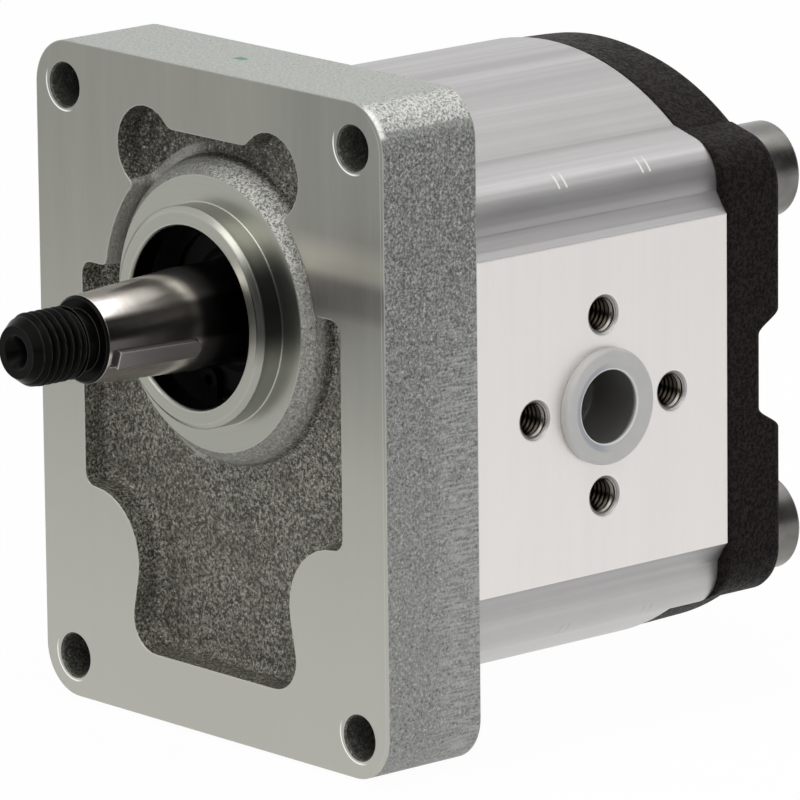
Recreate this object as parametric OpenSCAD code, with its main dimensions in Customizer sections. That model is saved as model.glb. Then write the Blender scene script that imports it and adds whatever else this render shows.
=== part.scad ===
/* [Mounting flange and front cover] */
// Width of the pump: flange plate, body and rear cover
pump_w = 86; // [84:1:92]
// Height of the flange plate above the shaft axis
flange_top = 40; // [39:0.5:43]
// Depth of the flange plate below the shaft axis
flange_bottom = 70.5; // [70:0.5:74]
// Corner radius of the flange plate
flange_corner_r = 8; // [5:0.5:10]
// Thickness of the front cover, mounting face to body
flange_t = 19.5; // [18.5:0.5:22]
// Distance from the mounting holes to the sides of the flange
hole_side = 7.25; // [6.5:0.25:8]
// Distance from the upper mounting holes to the top edge of the flange
hole_above = 7.5; // [7:0.5:8.5]
// Distance from the lower mounting holes to the bottom edge of the flange
hole_below = 6.8; // [6.3:0.5:8.3]
// Diameter of the mounting holes
hole_d = 7.2; // [6.6:0.1:9]
// Diameter of the pilot spigot
pilot_d = 36.47; // [36:0.01:38.1]
// Height of the pilot spigot in front of the mounting face
pilot_h = 4.5; // [3.5:0.5:6]
// Depth of the cast recess in the mounting face
recess_depth = 5; // [4:0.5:5.5]
// Diameter of the seal bore inside the pilot
seal_bore_d = 30; // [29:0.5:31]

/* [Pump body and rear cover] */
// Length of the extruded body
body_l = 54.5; // [52:0.5:70]
// Height of the body, crown to crown
body_h = 100.6; // [100:0.5:103]
// Diameter of both ports
port_d = 13.5; // [12:0.5:14]
// Pitch circle of the four threaded holes round a port
port_pcd = 30; // [29:0.5:31]
// Diameter of the port threads
port_thread_d = 6; // [5:1:6]
// Depth of the port threads
port_thread_depth = 13; // [10:1:14]
// Thickness of the rear cover over its bolt pads
rear_t = 12; // [11:0.5:16]
// Depth of the channel across the back of the rear cover
rear_channel = 4.4; // [2:0.2:5]
// Thread diameter of the body bolts
bolt_d = 10; // [8:1:10]

/* [Gears and shaft] */
// Distance between the two gear axes
centre_distance = 31; // [30.9:0.05:31.2]
// Width of the gears
gear_w = 16; // [12:0.5:20]
// Tip diameter of the gears
gear_tip_d = 36.4; // [36:0.1:36.5]
// Diameter of the shaft and gear journals
journal_d = 17; // [16.5:0.1:17.2]
// Length of the shaft in front of the mounting face
shaft_out = 40; // [39:0.5:42]
// Thread diameter of the shaft end
shaft_thread_d = 12; // [10:1:12]
// Width of the key
key_w = 3; // [2.5:0.5:4]

/* [Hidden] */
$fn = 96;

// Planes along the shaft: mounting face at 0, body from body_y0 to body_y1, back of the pads at pad_y
body_y0 = flange_t;
body_y1 = body_y0 + body_l;
pad_y = body_y1 + rear_t;
mid_y = body_y0 + body_l / 2;

// Height of the body's own centre, half way between the two gear axes
body_z = -centre_distance / 2;

// Mounting holes
hole_x = pump_w / 2 - hole_side;
hole_top = flange_top - hole_above;
hole_bottom = -flange_bottom + hole_below;
hole_chamfer = 0.3;

// Body outline: a lobe over each bolt, crowns between them, a raised pad for each port
port_x = pump_w / 2;
lobe_r = 7;
lobe_x = port_x - lobe_r - 2.4;
lobe_dz = body_h / 2 - 18;
crown_half = lobe_x - 1.8;
crown_rise = 11;
crown_r = (crown_half * crown_half + crown_rise * crown_rise) / (2 * crown_rise);
crown_drop = crown_r - body_h / 2;
flank_x = lobe_x + lobe_r;
blend_angle = 15;
blend_l = 5.2;
blend_sink = 0.02;
port_pad_half = lobe_dz - 4.7;
pad_knee_x = port_x - 0.9;
pad_knee_z = port_pad_half + 1.1;
pad_foot_z = port_pad_half + 3.4;
cover_lobe_dz = lobe_dz - 2.1;
cover_lobe_r = 8.5;
port_start_x = 6;

// Four body bolts
bolt_x = port_x - 13.5;
bolt_dz = lobe_dz - 2.4;
bolt_play = 0.5;
bolt_head_r = 0.8 * bolt_d;
bolt_head_h = bolt_d;
bolt_bite = flange_t - recess_depth - 1;
tap_end_y = flange_t - bolt_bite - 0.5;
thread_gap = 0.03;
socket_af = 0.8 * bolt_d;

// Running fits
tip_gap = 0.3;
face_gap = 0.05;
bush_gap = 0.06;
cavity_r = gear_tip_d / 2 + tip_gap;
block_gap = 0.1;
block_l = (body_l - gear_w - 2 * face_gap) / 2;
bush_wall = 1.5;
bush_l = block_l - 2.2;
bush_set = 0.8;
bush_r = journal_d / 2 + bush_gap;
bush_out_r = bush_r + bush_wall;

// Gear teeth
teeth = 12;
gear_module = 2.5;
base_r = gear_module * teeth / 2 * cos(20);
work_r = centre_distance / 2;
work_angle = acos(base_r / work_r);
tip_r = gear_tip_d / 2;
root_r = centre_distance - tip_r - tip_gap;
backlash = 0.16;
flank_steps = 7;

// Shaft end
taper_y = -6;
taper_l = 21;
taper_end_r = journal_d / 2 - taper_l / 16;
relief_l = 2;
relief_depth = 0.9;
tip_chamfer_l = 2.5;
tip_chamfer = 1.7;
centre_r = 2.5;
centre_drill_r = 1;
centre_depth = 6.6;
key_angle = 18.5;
key_slope = atan(1 / 16);
key_front = 0.9;
keyway_y = taper_y - taper_l + 1;
keyway_l = 17.3;
keyway_depth = 1.8;
key_proud = 0.8;

// Axial seal groove in the back of each bearing block
seal_out_r = 16.6;
seal_in_r = 14.2;
seal_web_cut = 6;
seal_groove = 3;
backup_t = 1;

// Case seal groove in each cover
case_in_r = 20.3;
case_out_r = 22.7;
case_depth = 1.9;

// Rotary seal in the pilot
seal_y = 5;
seal_l = 7;
ring_y = 3.6;
ring_t = 1.2;
ring_groove_r = seal_bore_d / 2 + 0.7;
ring_ear_r = 2.1;
ring_ear_x = 4.7;
ring_eye_r = 0.9;
ring_gap_w = 5.2;
lip_r = journal_d / 2 + 0.1;
spring_r = lip_r + 2.1;
spring_wire_r = 0.6;
sleeve_r = seal_bore_d / 2 - 1.7;

// Dowels between the covers and the body
dowel_x = port_x - 9;
dowel_r = 3;
dowel_in_cover = 8;
dowel_in_rear = 6;
dowel_in_body = 6;

// Plastic plugs in the ports
plug_lip_r = 9.75;
plug_lip_t = 1.5;
plug_r = port_d / 2 - 0.1;
plug_depth = 10;
plug_wall = 0.7;
plug_floor = 0.8;

// A flat drawing in the X-Z plane, made solid from y0 over a length along Y
module along_y(y0, length) {
    translate([0, y0 + length, 0])
        rotate([90, 0, 0])
            linear_extrude(height = length)
                children();
}

// A cylinder along Y at (x, z)
module rod_y(x, z, r, y0, length) {
    translate([x, y0 + length, z])
        rotate([90, 0, 0])
            cylinder(r = r, h = length);
}

// A turned solid round the Y axis: the profile is drawn as (radius, y)
module turned_y(x, z) {
    translate([x, 0, z])
        rotate([-90, 0, 0])
            rotate_extrude()
                children();
}

// A cylinder along X at (y, z)
module rod_x(y, z, r, x0, length) {
    translate([x0, y, z])
        rotate([0, 90, 0])
            cylinder(r = r, h = length);
}

module at_bolts() {
    for (sx = [-1, 1])
        for (sz = [-1, 1])
            translate([sx * bolt_x, 0, body_z + sz * bolt_dz])
                children();
}

// Crowned top and bottom of the body and the rear cover
module crowns() {
    for (sz = [0, 1])
        translate([0, body_z])
            mirror([0, sz])
                intersection() {
                    translate([0, -crown_drop])
                        circle(r = crown_r, $fn = 180);
                    translate([-crown_half, 0])
                        square([2 * crown_half, body_h / 2]);
                }
}

// Four corner lobes, each with a straight web that runs from its top towards the crown.
// The web lies blend_sink inside the lobe's tangent, so that line and arc cross.
module lobes(x, dz, r) {
    for (sx = [0, 1])
        for (sz = [0, 1])
            translate([0, body_z])
                mirror([sx, 0])
                    mirror([0, sz])
                        translate([x, dz]) {
                            circle(r = r);
                            rotate(-blend_angle)
                                translate([-blend_l, 0])
                                    square([blend_l, r - blend_sink]);
                        }
}

module body_outline() {
    crowns();
    lobes(lobe_x, lobe_dz, lobe_r);
    translate([-flank_x, body_z - lobe_dz])
        square([2 * flank_x, 2 * lobe_dz]);
    translate([0, body_z])
        polygon([
            [-port_x, -port_pad_half], [-pad_knee_x, -pad_knee_z],
            [-flank_x, -pad_foot_z], [flank_x, -pad_foot_z],
            [pad_knee_x, -pad_knee_z], [port_x, -port_pad_half],
            [port_x, port_pad_half], [pad_knee_x, pad_knee_z],
            [flank_x, pad_foot_z], [-flank_x, pad_foot_z],
            [-pad_knee_x, pad_knee_z], [-port_x, port_pad_half]
        ]);
}

module rear_outline() {
    crowns();
    lobes(port_x - cover_lobe_r, cover_lobe_dz, cover_lobe_r);
    translate([-port_x, body_z - cover_lobe_dz])
        square([2 * port_x, 2 * cover_lobe_dz]);
}

module flange_outline() {
    difference() {
        union() {
            translate([-pump_w / 2 + flange_corner_r, -flange_bottom])
                square([pump_w - 2 * flange_corner_r, flange_bottom + flange_top]);
            translate([-pump_w / 2, -flange_bottom + flange_corner_r])
                square([pump_w, flange_bottom + flange_top - 2 * flange_corner_r]);
            for (sx = [-1, 1])
                for (z = [flange_top - flange_corner_r, -flange_bottom + flange_corner_r])
                    translate([sx * (pump_w / 2 - flange_corner_r), z])
                        circle(r = flange_corner_r);
        }
        for (sx = [-1, 1])
            for (z = [hole_top, hole_bottom])
                translate([sx * hole_x, z])
                    circle(d = hole_d);
    }
}

// Two discs, one on each gear axis
module gear_pair_2d(r) {
    circle(r = r);
    translate([0, -centre_distance])
        circle(r = r);
}

// A loop round both gear axes with straight sides
module racetrack_2d(r) {
    gear_pair_2d(r);
    translate([-r, -centre_distance])
        square([2 * r, centre_distance]);
}

// Right half of the recess outline, as arcs from the top middle to the bottom middle.
// Each arc is [centre x, centre z, radius, first and last outward direction, 1 or -1],
// 1 where the recess bulges out and -1 where the metal round it does.
// Beside the boss the wall runs round the shaft at ring_r, between a cusp and a shoulder.
bridge_z = 29;
bridge_r = 2.2;
ear = [15.4, 24.9, 7.1];
ring_r = 26.3;
cusp_r = 0.7;
shoulder_z = 3.85;
shoulder_r = 1.2;
shoulder_out = 30;
lower_boss = [30, -45, 11.1];
foot = [14.9, -54.1, 5.5];
recess_corner_r = 2.2;
bridge_dx = sqrt((ear[2] + bridge_r) * (ear[2] + bridge_r) - pow(bridge_z + bridge_r - ear[1], 2));
bridge_angle = atan2(bridge_z + bridge_r - ear[1], -bridge_dx);

// Centre of the cusp, which touches the ear and the ring from outside
ear_far = norm([ear[0], ear[1]]);
cusp_far = ring_r + cusp_r;
cusp_angle = atan2(ear[1], ear[0])
    - acos((ear_far * ear_far + cusp_far * cusp_far - pow(ear[2] + cusp_r, 2)) / (2 * ear_far * cusp_far));
cusp = cusp_far * [cos(cusp_angle), sin(cusp_angle)];
ear_end = atan2(cusp[1] - ear[1], cusp[0] - ear[0]);

// Direction and centre of the rounding between the ring and the shoulder
shoulder_angle = asin((shoulder_z + shoulder_r) / (ring_r + shoulder_r));
shoulder_x = (ring_r + shoulder_r) * cos(shoulder_angle);

// Outward direction of the straight wall that leaves the foot for the lower boss
boss_angle = atan2(lower_boss[1] - foot[1], lower_boss[0] - foot[0])
    - acos((foot[2] + lower_boss[2]) / norm([lower_boss[0] - foot[0], lower_boss[1] - foot[1]]));

// The last two numbers are the steps of the arc and its first step,
// which is 1 where the arc before it ends on its start.
recess_arcs = [
    [ear[0] - bridge_dx, bridge_z + bridge_r, bridge_r, 90, bridge_angle, -1, 4, 0],
    [ear[0], ear[1], ear[2], bridge_angle, ear_end, 1, 12, 1],
    [cusp[0], cusp[1], cusp_r, ear_end, cusp_angle, -1, 3, 1],
    [0, 0, ring_r, cusp_angle, shoulder_angle, 1, 8, 1],
    [shoulder_x, shoulder_z + shoulder_r, shoulder_r, shoulder_angle, 90, -1, 3, 1],
    [shoulder_out, shoulder_z - recess_corner_r, recess_corner_r, 90, 0, 1, 4, 0],
    [lower_boss[0], lower_boss[1] + lower_boss[2] + recess_corner_r, recess_corner_r, 0, -90, 1, 4, 0],
    [lower_boss[0], lower_boss[1], lower_boss[2], -90, boss_angle, -1, 9, 1],
    [foot[0], foot[1], foot[2], boss_angle, -90, 1, 9, 0]
];

// Points of the right half, moved inwards from the wall by d
function recess_half(d) = [
    for (a = recess_arcs)
        for (i = [a[7]:a[6]])
            let (t = a[3] + (a[4] - a[3]) * i / a[6], r = a[5] * a[2] - d)
                [a[0] + r * cos(t), a[1] + r * sin(t)]
];

function mirrored(points) = [
    for (i = [len(points) - 1:-1:0])
        [-points[i][0], points[i][1]]
];

function recess_ring(d) = concat(recess_half(d), mirrored(recess_half(d)));

// Levels of the recess wall as [depth, inset]: steep draft, then a quarter-round fillet to the floor
recess_fillet = 1.7;
recess_draft = 0.3;
recess_levels = concat(
    [[-1, 0], [0, 0]],
    [
        for (i = [0:4])
            [recess_depth - recess_fillet + recess_fillet * sin(22.5 * i),
                recess_draft + recess_fillet * (1 - cos(22.5 * i))]
    ]
);

// Solid of the recess: outline swept down its levels, with every face a triangle.
// Each end is two fans, one round each middle point, because no single point sees the whole
// outline. They meet at the point number fan_split of each half, on the wall beside the boss.
recess_middles = [8, -15];
fan_split = 22;
module recess_solid() {
    rings = [for (v = recess_levels) recess_ring(v[1])];
    n = len(rings[0]);
    last = len(recess_levels) - 1;
    points = concat(
        [
            for (k = [0:last])
                for (p = rings[k])
                    [p[0], recess_levels[k][0], p[1]]
        ],
        [
            for (k = [0, last])
                for (z = recess_middles)
                    [0, recess_levels[k][0], z]
        ]
    );
    walls = [
        for (k = [0:last - 1])
            for (i = [0:n - 1])
                for (f = [0, 1])
                    let (j = (i + 1) % n)
                        f == 0
                            ? [k * n + j, k * n + i, (k + 1) * n + i]
                            : [k * n + j, (k + 1) * n + i, (k + 1) * n + j]
    ];
    first_middle = (last + 1) * n;
    ends = [
        for (i = [0:n - 1])
            for (f = [0, 1])
                let (j = (i + 1) % n, low = i < fan_split || i >= n - 1 - fan_split ? 0 : 1)
                    f == 0
                        ? [i, j, first_middle + low]
                        : [last * n + j, last * n + i, first_middle + 2 + low]
    ];
    joins = [
        [fan_split, first_middle + 1, first_middle],
        [n - 1 - fan_split, first_middle, first_middle + 1],
        [last * n + fan_split, first_middle + 2, first_middle + 3],
        [last * n + n - 1 - fan_split, first_middle + 3, first_middle + 2]
    ];
    polyhedron(points = points, faces = concat(walls, ends, joins), convexity = 6);
}

// Cast boss that carries the pilot, left standing in the recess.
// Its edge slopes out at 45 degrees over boss_bevel, its side is drafted out to boss_draft,
// and it runs out into the recess floor at boss_foot.
boss_r = 22.7;
boss_bevel = 1.7;
boss_draft = 2.4;
boss_foot = 3.6;
module pilot_boss() {
    turned_y(0, 0)
        polygon([
            [0, -2], [boss_r, -2], [boss_r, 0], [boss_r + boss_bevel, boss_bevel],
            [boss_r + boss_draft, recess_depth - 2], [boss_r + boss_draft + 0.3, recess_depth - 0.9],
            [boss_r + boss_foot - 0.6, recess_depth - 0.3], [boss_r + boss_foot, recess_depth],
            [boss_r + boss_foot, recess_depth + 1], [0, recess_depth + 1]
        ]);
}

// Drain hollows in the inner face of a cover: a pocket at each journal and a slot between them
drain_depth = 1.5;
drain_w = 4;
journal_room = 0.8;
module drain_2d() {
    gear_pair_2d(journal_d / 2 + journal_room);
    translate([-journal_d / 2 + 2, -centre_distance])
        square([drain_w, centre_distance]);
}

module front_cover() {
    color([0.52, 0.52, 0.50])
        difference() {
            union() {
                along_y(0, flange_t)
                    flange_outline();
                turned_y(0, 0)
                    polygon([
                        [0, 1], [0, -pilot_h], [pilot_d / 2 - 0.9, -pilot_h],
                        [pilot_d / 2, -pilot_h + 0.7], [pilot_d / 2, 1]
                    ]);
            }
            difference() {
                recess_solid();
                pilot_boss();
            }
            turned_y(0, 0)
                polygon([
                    [0, -pilot_h - 1], [seal_bore_d / 2 + 0.7, -pilot_h - 1],
                    [seal_bore_d / 2 + 0.3, -pilot_h],
                    [seal_bore_d / 2, -pilot_h + 0.5], [seal_bore_d / 2, ring_y - 0.05],
                    [ring_groove_r, ring_y - 0.05], [ring_groove_r, ring_y + ring_t + 0.05],
                    [seal_bore_d / 2, ring_y + ring_t + 0.05], [seal_bore_d / 2, seal_y + seal_l],
                    [journal_d / 2 + journal_room, seal_y + seal_l],
                    [journal_d / 2 + journal_room, flange_t + 1], [0, flange_t + 1]
                ]);
            for (sx = [-1, 1])
                for (z = [hole_top, hole_bottom])
                    turned_y(sx * hole_x, z)
                        polygon([
                            [0, -0.5], [hole_d / 2 + hole_chamfer + 0.5, -0.5],
                            [hole_d / 2, hole_chamfer], [0, hole_chamfer]
                        ]);
            at_bolts()
                rod_y(0, 0, bolt_d / 2 + thread_gap, tap_end_y, flange_t - tap_end_y + 1);
            for (sx = [-1, 1])
                rod_y(sx * dowel_x, body_z, dowel_r, flange_t - dowel_in_cover, dowel_in_cover + 1);
            along_y(flange_t - drain_depth, drain_depth + 1)
                drain_2d();
            along_y(flange_t - case_depth, case_depth + 1)
                difference() {
                    racetrack_2d(case_out_r);
                    racetrack_2d(case_in_r);
                }
        }
}

port_hole_chamfer = 0.4;
module port_cuts(sx) {
    port_l = port_x - port_start_x + 1;
    hole_end_x = port_x - port_thread_depth;
    rod_x(mid_y, body_z, port_d / 2, sx > 0 ? port_start_x : -port_x - 1, port_l);
    for (a = [0:90:270])
        translate([0, mid_y + port_pcd / 2 * cos(a), body_z + port_pcd / 2 * sin(a)]) {
            rod_x(0, 0, port_thread_d / 2, sx > 0 ? hole_end_x : -port_x - 1, port_thread_depth + 1);
            translate([sx * (port_x - port_hole_chamfer), 0, 0])
                rotate([0, sx * 90, 0])
                    cylinder(
                        r1 = port_thread_d / 2,
                        r2 = port_thread_d / 2 + 2 * port_hole_chamfer,
                        h = 2 * port_hole_chamfer
                    );
        }
}

module pump_body() {
    color([0.78, 0.77, 0.77])
        difference() {
            along_y(body_y0, body_l)
                body_outline();
            along_y(body_y0 - 1, body_l + 2)
                gear_pair_2d(cavity_r);
            port_cuts(1);
            port_cuts(-1);
            at_bolts()
                rod_y(0, 0, bolt_d / 2 + bolt_play, body_y0 - 1, body_l + 2);
            for (sx = [-1, 1]) {
                rod_y(sx * dowel_x, body_z, dowel_r, body_y0 - 1, dowel_in_body + 1);
                rod_y(sx * dowel_x, body_z, dowel_r, body_y1 - dowel_in_body, dowel_in_body + 1);
            }
        }
}

// Section of the channel across the back of the rear cover, drawn as (depth, height) from its middle
channel_floor = 7;
channel_mouth = 10;
module channel_2d() {
    polygon([
        [1, -channel_mouth - 1.2], [0, -channel_mouth - 1.2], [-0.4, -channel_mouth],
        [-1.5, -channel_mouth + 0.9], [-rear_channel + 1.1, -channel_floor - 0.9],
        [-rear_channel + 0.3, -channel_floor + 0.2], [-rear_channel, -channel_floor + 1.4],
        [-rear_channel, channel_floor - 1.4], [-rear_channel + 0.3, channel_floor - 0.2],
        [-rear_channel + 1.1, channel_floor + 0.9], [-1.5, channel_mouth - 0.9],
        [-0.4, channel_mouth], [0, channel_mouth + 1.2], [1, channel_mouth + 1.2]
    ]);
}

module rear_cover() {
    color([0.16, 0.15, 0.14])
        difference() {
            along_y(body_y1, rear_t)
                rear_outline();
            translate([-port_x - 1, pad_y, body_z])
                rotate([90, 0, 90])
                    linear_extrude(height = 2 * port_x + 2)
                        channel_2d();
            at_bolts()
                rod_y(0, 0, bolt_d / 2 + bolt_play, body_y1 - 1, rear_t + 2);
            for (sx = [-1, 1])
                rod_y(sx * dowel_x, body_z, dowel_r, body_y1 - 1, dowel_in_rear + 1);
            along_y(body_y1 - 1, drain_depth + 1)
                drain_2d();
            along_y(body_y1 - 1, case_depth + 1)
                difference() {
                    racetrack_2d(case_out_r);
                    racetrack_2d(case_in_r);
                }
        }
}

// Involute function, in degrees
function inv(a) = tan(a) * 180 / PI - a;

// Half the angle of a tooth at radius r; below the base circle the flank is radial
function half_tooth(r) =
    (PI * work_r / teeth - backlash / 2) / 2 / work_r * 180 / PI
    + inv(work_angle) - inv(acos(base_r / max(r, base_r)));

function at_polar(r, a) = [r * cos(a), r * sin(a)];

// Radii along a flank, from the root circle through the base circle to the tip
flank_radii = concat(
    [root_r, base_r],
    [for (i = [1:flank_steps]) base_r + (tip_r - base_r) * i / flank_steps]
);

// One tooth at angle a, with the middle of the root before it
function tooth_points(a) = concat(
    [at_polar(root_r, a - 180 / teeth)],
    [for (r = flank_radii) at_polar(r, a - half_tooth(r))],
    [at_polar(tip_r, a)],
    [for (i = [len(flank_radii) - 1:-1:0]) at_polar(flank_radii[i], a + half_tooth(flank_radii[i]))]
);

// Whole gear outline: every point is an involute, tip or root point of its tooth
module gear_2d(turn) {
    polygon([
        for (k = [0:teeth - 1])
            for (p = tooth_points(turn + 360 * k / teeth))
                p
    ]);
}

// A box laid along the taper's surface line, with its rear end round
module along_taper(y0, length, width, below, above) {
    rotate([0, key_angle, 0])
        translate([journal_d / 2 - (taper_y - y0) / 16, y0, 0])
            rotate([0, 0, -key_slope]) {
                translate([-below, 0, -width / 2])
                    cube([below + above, length - width / 2, width]);
                translate([-below, length - width / 2, 0])
                    rotate([0, 90, 0])
                        cylinder(r = width / 2, h = below + above);
            }
}

// End of a journal: its distance from the cover behind it and its chamfer
journal_gap = 0.4;
journal_chamfer = 0.6;

module drive_gear() {
    end_y = taper_y - taper_l;
    color([0.62, 0.60, 0.58])
        difference() {
            union() {
                along_y(mid_y - gear_w / 2, gear_w)
                    gear_2d(90);
                turned_y(0, 0)
                    polygon([
                        [0, -shaft_out],
                        [shaft_thread_d / 2 - tip_chamfer, -shaft_out],
                        [shaft_thread_d / 2, -shaft_out + tip_chamfer_l],
                        [shaft_thread_d / 2, end_y - relief_l - 0.9 * relief_depth],
                        [shaft_thread_d / 2 - relief_depth, end_y - relief_l],
                        [shaft_thread_d / 2 - relief_depth, end_y],
                        [taper_end_r - 0.4, end_y],
                        [taper_end_r, end_y + 0.4],
                        [journal_d / 2, taper_y],
                        [journal_d / 2, body_y1 - journal_gap - journal_chamfer],
                        [journal_d / 2 - journal_chamfer, body_y1 - journal_gap],
                        [0, body_y1 - journal_gap]
                    ]);
            }
            turned_y(0, 0)
                polygon([
                    [0, -shaft_out - 1], [centre_r + 0.5, -shaft_out - 0.4], [centre_r, -shaft_out + 0.1],
                    [centre_drill_r, -shaft_out + 1.8 * (centre_r - centre_drill_r)],
                    [centre_drill_r, -shaft_out + centre_depth - 0.6 * centre_drill_r],
                    [0, -shaft_out + centre_depth]
                ]);
            along_taper(keyway_y, keyway_l, key_w, keyway_depth, 3);
        }
}

module driven_gear() {
    color([0.60, 0.59, 0.58])
        translate([0, 0, -centre_distance]) {
            along_y(mid_y - gear_w / 2, gear_w)
                gear_2d(90 + 180 / teeth);
            turned_y(0, 0)
                polygon([
                    [0, body_y0 + journal_gap],
                    [journal_d / 2 - journal_chamfer, body_y0 + journal_gap],
                    [journal_d / 2, body_y0 + journal_gap + journal_chamfer],
                    [journal_d / 2, body_y1 - journal_gap - journal_chamfer],
                    [journal_d / 2 - journal_chamfer, body_y1 - journal_gap],
                    [0, body_y1 - journal_gap]
                ]);
        }
}

// The 3-shaped loop that keeps port pressure off the suction side of a block
module pressure_loop_2d() {
    difference() {
        gear_pair_2d(seal_out_r);
        gear_pair_2d(seal_in_r);
        translate([seal_web_cut, -centre_distance - seal_out_r])
            square([seal_out_r, centre_distance + 2 * seal_out_r]);
    }
}

// A bearing block with its back at back_y; dir is 1 when the gears lie towards +Y.
// Two pockets in its gear side let the oil trapped between the teeth out to the ports.
pocket_x = 5.4;
pocket_w = 5.2;
pocket_h = 6;
pocket_depth = 1.2;
module bearing_block(back_y, dir) {
    front_y = back_y + dir * block_l;
    difference() {
        along_y(min(back_y, front_y), block_l)
            gear_pair_2d(cavity_r - block_gap);
        along_y(min(back_y, front_y) - 1, block_l + 2)
            gear_pair_2d(bush_out_r);
        along_y(back_y - (dir > 0 ? 1 : seal_groove), seal_groove + 1)
            pressure_loop_2d();
        for (sx = [-1, 1])
            translate([sx * pocket_x - pocket_w / 2, front_y - pocket_depth, body_z - pocket_h / 2])
                cube([pocket_w, 2 * pocket_depth, pocket_h]);
    }
}

module front_bearing_block() {
    color([0.70, 0.70, 0.68])
        bearing_block(body_y0, 1);
}

module rear_bearing_block() {
    color([0.70, 0.70, 0.68])
        bearing_block(body_y1, -1);
}

module bush(z, y0) {
    color([0.66, 0.52, 0.34])
        translate([0, 0, z])
            difference() {
                rod_y(0, 0, bush_out_r, y0, bush_l);
                rod_y(0, 0, bush_r, y0 - 1, bush_l + 2);
            }
}

front_bush_y = body_y0 + block_l - bush_set - bush_l;
rear_bush_y = body_y1 - block_l + bush_set;

module drive_front_bush() {
    bush(0, front_bush_y);
}

module driven_front_bush() {
    bush(-centre_distance, front_bush_y);
}

module drive_rear_bush() {
    bush(0, rear_bush_y);
}

module driven_rear_bush() {
    bush(-centre_distance, rear_bush_y);
}

module front_pressure_seal() {
    color([0.10, 0.10, 0.10])
        along_y(body_y0, seal_groove - backup_t)
            pressure_loop_2d();
}

module rear_pressure_seal() {
    color([0.10, 0.10, 0.10])
        along_y(body_y1 - seal_groove + backup_t, seal_groove - backup_t)
            pressure_loop_2d();
}

module front_backup_ring() {
    color([0.88, 0.87, 0.82])
        along_y(body_y0 + seal_groove - backup_t, backup_t)
            pressure_loop_2d();
}

module rear_backup_ring() {
    color([0.88, 0.87, 0.82])
        along_y(body_y1 - seal_groove, backup_t)
            pressure_loop_2d();
}

module case_seal(y0) {
    color([0.10, 0.10, 0.10])
        along_y(y0, case_depth)
            difference() {
                racetrack_2d(case_out_r - 0.1);
                racetrack_2d(case_in_r + 0.1);
            }
}

module front_case_seal() {
    case_seal(flange_t - case_depth);
}

module rear_case_seal() {
    case_seal(body_y1);
}

// Rubber lip seal: outer sleeve, web on the air side, main lip and dust lip
module shaft_seal() {
    color([0.09, 0.08, 0.08])
        difference() {
            turned_y(0, 0)
                polygon([
                    [seal_bore_d / 2, seal_y + 0.3], [seal_bore_d / 2, seal_y + seal_l],
                    [sleeve_r, seal_y + seal_l], [sleeve_r, seal_y + 1.6], [lip_r + 2.1, seal_y + 1.6],
                    [lip_r + 1.6, seal_y + 3.2], [lip_r + 2.7, seal_y + 5.2], [lip_r + 1.5, seal_y + 6],
                    [lip_r + 0.6, seal_y + 5.6], [lip_r, seal_y + 4.4], [lip_r + 0.7, seal_y + 2.6],
                    [lip_r + 0.7, seal_y + 1.4], [lip_r, seal_y], [lip_r + 0.5, seal_y - 0.1],
                    [lip_r + 1.8, seal_y + 0.5], [sleeve_r + 0.3, seal_y]
                ]);
            turned_y(0, 0)
                translate([spring_r, seal_y + 4.5])
                    circle(r = spring_wire_r);
        }
}

// Spring round the lip
module garter_spring() {
    color([0.45, 0.45, 0.46])
        turned_y(0, 0)
            translate([spring_r, seal_y + 4.5])
                circle(r = spring_wire_r, $fn = 24);
}

// Internal circlip, open at the bottom between two drilled ears
module seal_retaining_ring() {
    ear_z = -ring_groove_r + ring_ear_r + 1.3;
    color([0.14, 0.14, 0.15])
        along_y(ring_y, ring_t)
            difference() {
                union() {
                    difference() {
                        circle(r = ring_groove_r - 0.05);
                        translate([0, 0.5])
                            circle(r = ring_groove_r - 2.6);
                    }
                    for (sx = [-1, 1])
                        translate([sx * ring_ear_x, ear_z])
                            circle(r = ring_ear_r);
                }
                translate([-ring_gap_w / 2, -ring_groove_r - 1])
                    square([ring_gap_w, 4 * ring_ear_r]);
                for (sx = [-1, 1])
                    translate([sx * ring_ear_x, ear_z])
                        circle(r = ring_eye_r, $fn = 32);
            }
}

module shaft_key() {
    color([0.32, 0.31, 0.31])
        along_taper(keyway_y + key_front, keyway_l - key_front - 0.1, key_w, keyway_depth, key_proud);
}

module cover_bolts() {
    color([0.55, 0.57, 0.57])
        at_bolts()
            difference() {
                union() {
                    rod_y(0, 0, bolt_d / 2, flange_t - bolt_bite, pad_y - flange_t + bolt_bite);
                    turned_y(0, 0)
                        polygon([
                            [0, pad_y], [bolt_head_r, pad_y], [bolt_head_r, pad_y + bolt_head_h - 0.5],
                            [bolt_head_r - 0.5, pad_y + bolt_head_h], [0, pad_y + bolt_head_h]
                        ]);
                }
                translate([0, pad_y + bolt_head_h + 1, 0])
                    rotate([90, 0, 0])
                        cylinder(r = socket_af / sqrt(3), h = bolt_head_h / 2 + 1, $fn = 6);
            }
}

module front_dowels() {
    color([0.60, 0.60, 0.60])
        for (sx = [-1, 1])
            rod_y(sx * dowel_x, body_z, dowel_r, flange_t - dowel_in_cover, dowel_in_cover + dowel_in_body);
}

module rear_dowels() {
    color([0.60, 0.60, 0.60])
        for (sx = [-1, 1])
            rod_y(sx * dowel_x, body_z, dowel_r, body_y1 - dowel_in_body, dowel_in_body + dowel_in_rear);
}

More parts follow.
